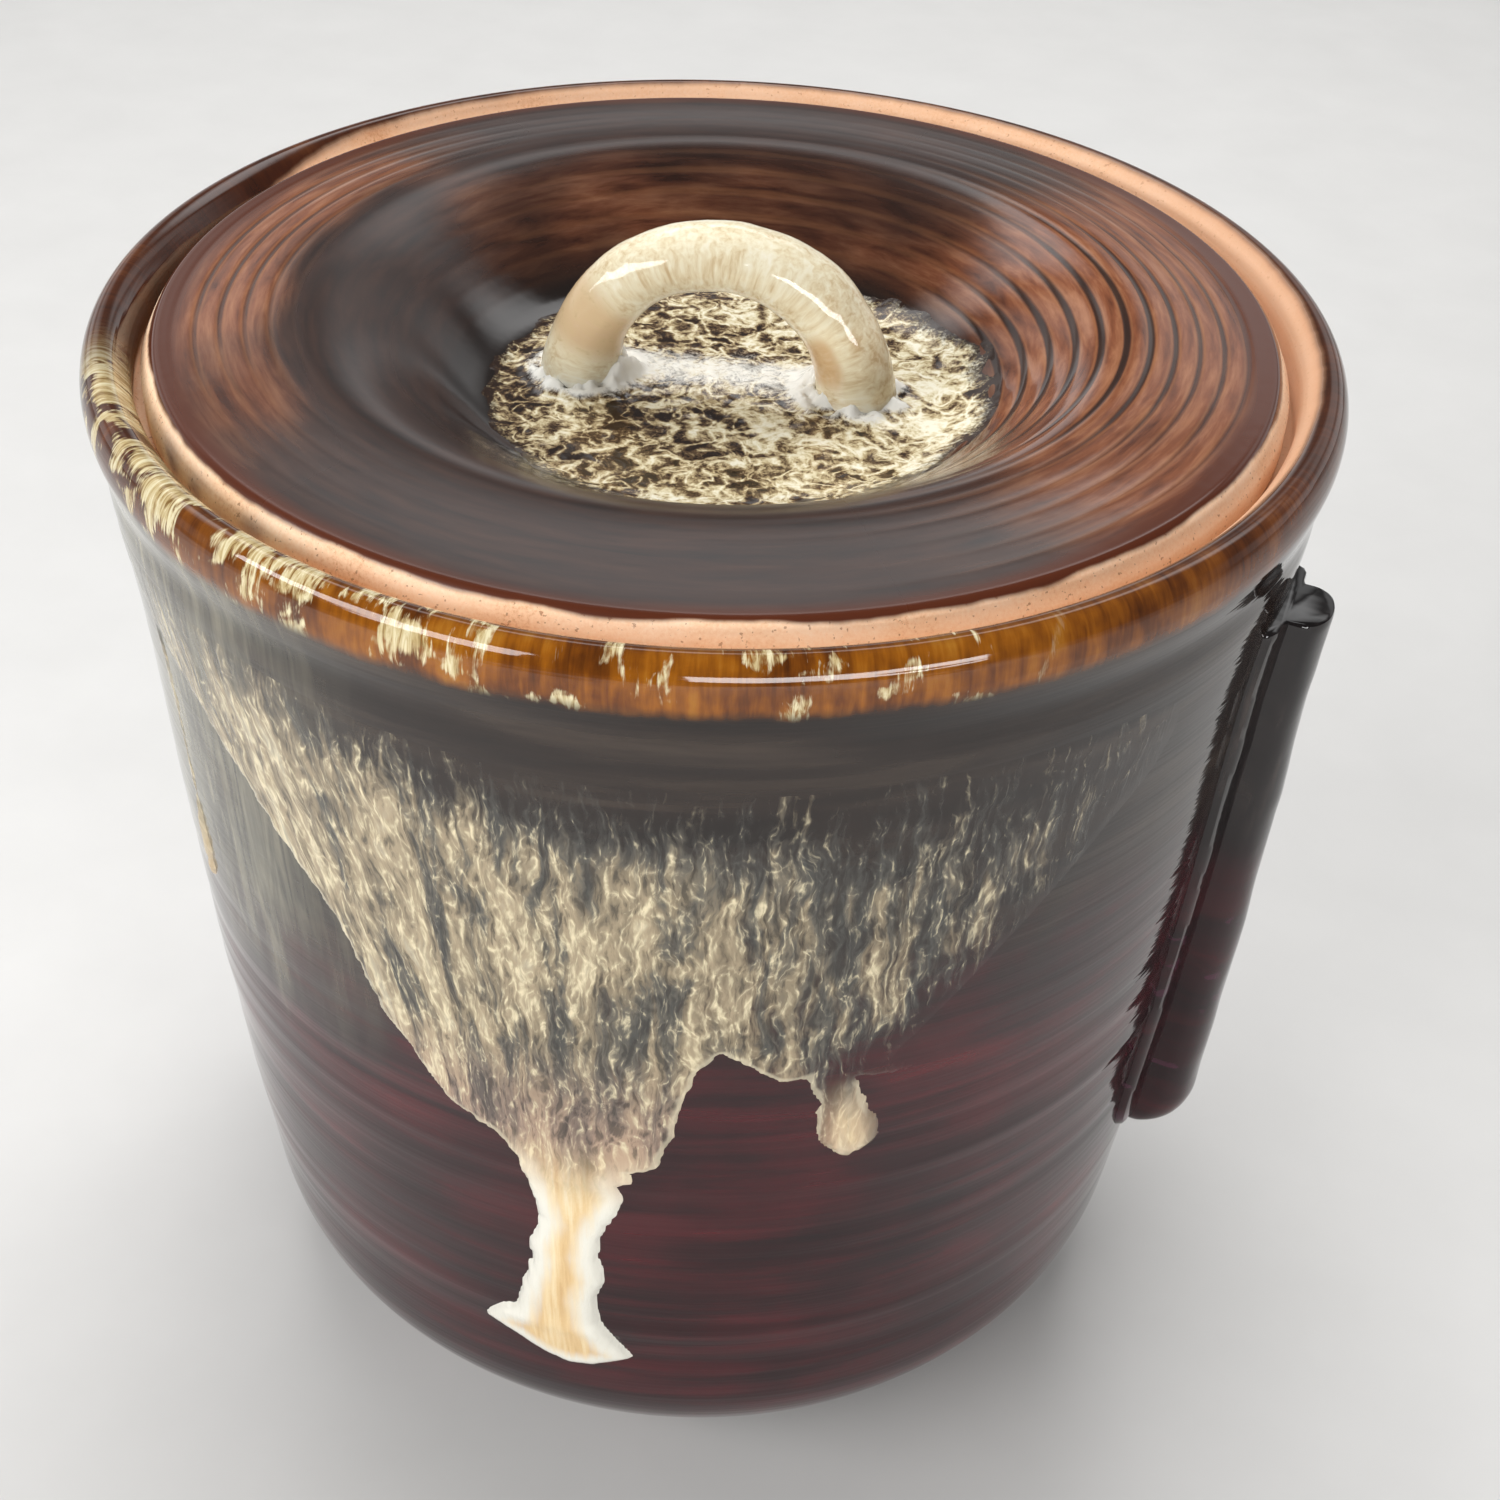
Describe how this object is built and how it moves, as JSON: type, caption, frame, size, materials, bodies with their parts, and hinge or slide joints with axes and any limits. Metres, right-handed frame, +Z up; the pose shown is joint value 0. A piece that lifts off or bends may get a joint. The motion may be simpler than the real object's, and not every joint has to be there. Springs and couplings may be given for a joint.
{
  "type": "tea ceremony water jar",
  "caption": "Round glazed stoneware water jar with a rolled lip, an inner lid ledge, pressed-on side ears and a dished lift-off lid with a loop handle.",
  "frame": {"origin": "centre of the foot, on the surface that the jar stands on", "axes": "+Z up along the jar's axis, +X towards the right ear, -Y towards the front, where the glaze was poured"},
  "size_m": [0.1862, 0.1784, 0.1854],
  "materials": {
    "dark_iron_glaze": "gloss",
    "lid_glaze": "gloss",
    "straw_ash_glaze": "gloss"
  },
  "bodies": {
    "jar": {"jar_body": "dark_iron_glaze", "right_ear": "dark_iron_glaze", "left_ear": "dark_iron_glaze", "long_glaze_run": "straw_ash_glaze", "short_glaze_run": "straw_ash_glaze"},
    "cover": {"lid": "lid_glaze", "lid_handle": "straw_ash_glaze"}
  },
  "joints": [
    {"name": "lid_lift", "type": "slide", "parent": "jar", "child": "cover", "axis": [0, 0, 1], "range_m": [0, 0.12]}
  ]
}
